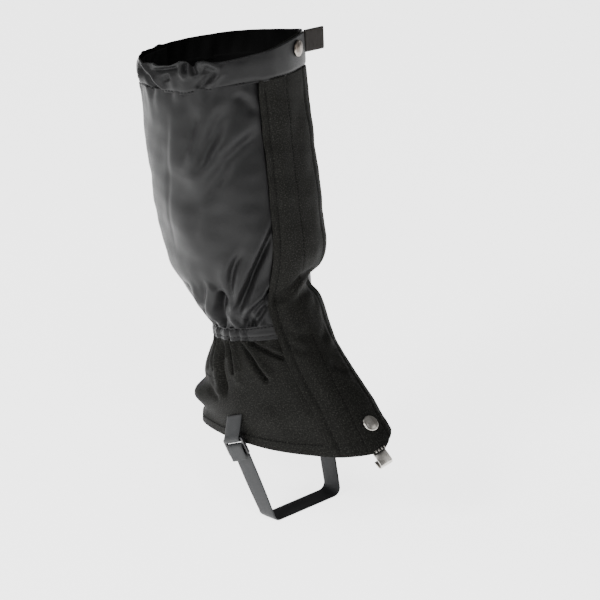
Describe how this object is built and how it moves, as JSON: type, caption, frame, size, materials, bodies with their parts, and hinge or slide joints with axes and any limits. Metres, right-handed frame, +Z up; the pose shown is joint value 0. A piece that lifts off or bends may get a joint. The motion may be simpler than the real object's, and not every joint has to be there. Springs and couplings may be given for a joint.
{
  "type": "gaiter",
  "caption": "Hiking gaiter for the right leg: two-fabric sleeve with elastic rim and ankle, hook-and-loop front flap with press studs, lace hook and under-boot strap.",
  "frame": {"origin": "middle of the under-boot strap's upper face, where the arch of the boot's sole stands on it", "axes": "+Z up, -Y towards the toe, -X the outer side of the right leg, +X its inner side"},
  "size_m": [0.1547, 0.2875, 0.4357],
  "materials": {
    "smooth_nylon": "smooth satin woven nylon, charcoal",
    "coarse_nylon": "coarse matt textured nylon, dark olive black",
    "elastic": "woven elastic, black",
    "touch_tape": "hook and loop pile, black",
    "webbing": "ribbed narrow webbing, brown black",
    "strap_rubber": "smooth coated webbing, dark grey",
    "black_plastic": "moulded, fine matt",
    "nickel": "nickel plate, slightly worn"
  },
  "bodies": {
    "leg_sleeve": {"upper_outer_panel": "smooth_nylon", "upper_inner_panel": "smooth_nylon", "lower_outer_panel": "coarse_nylon", "lower_inner_panel": "coarse_nylon", "rim_casing": "smooth_nylon", "rim_elastic": "elastic", "ankle_casing": "smooth_nylon", "ankle_elastic": "elastic", "upper_placket": "coarse_nylon", "lower_placket": "coarse_nylon", "upper_loop_tape": "touch_tape", "lower_loop_tape": "touch_tape", "upper_snap_stud": "nickel", "upper_snap_post": "nickel", "lower_snap_stud": "nickel", "lower_snap_post": "nickel"},
    "shin_flap": {"shin_flap": "coarse_nylon", "flap_band": "smooth_nylon", "upper_hook_tape": "touch_tape", "upper_snap_cap": "nickel", "upper_snap_socket": "nickel"},
    "instep_flap": {"instep_flap": "coarse_nylon", "lower_hook_tape": "touch_tape", "lower_snap_cap": "nickel", "lower_snap_socket": "nickel", "lace_hook": "nickel"},
    "pull_tab": {"pull_tab": "webbing"},
    "boot_strap": {"underfoot_strap": "strap_rubber", "strap_tab": "strap_rubber", "buckle": "black_plastic"}
  },
  "joints": [
    {"name": "shin_flap_hinge", "type": "hinge", "parent": "leg_sleeve", "child": "shin_flap", "pos_m": [-0.0311, 0.00078, 0.17888], "axis": [-0.0418, -0.1216, -0.9917], "range_deg": [0, 105]},
    {"name": "instep_flap_hinge", "type": "hinge", "parent": "leg_sleeve", "child": "instep_flap", "pos_m": [-0.03629, -0.07796, 0.08117], "axis": [-0.0413, -0.6269, -0.778], "range_deg": [0, 42]},
    {"name": "pull_tab_hinge", "type": "hinge", "parent": "shin_flap", "child": "pull_tab", "pos_m": [0.0441, 0.03567, 0.4241], "axis": [-0.0493, -0.0933, -0.9944], "range_deg": [-15, 60]},
    {"name": "strap_swing", "type": "hinge", "parent": "leg_sleeve", "child": "boot_strap", "pos_m": [-0.05262, 0.031, 0.095], "axis": [1, 0, 0], "range_deg": [-20, 20]}
  ],
  "couplings": [
    {"joint": "instep_flap_hinge", "follows": "shin_flap_hinge", "ratio": 0.4}
  ]
}
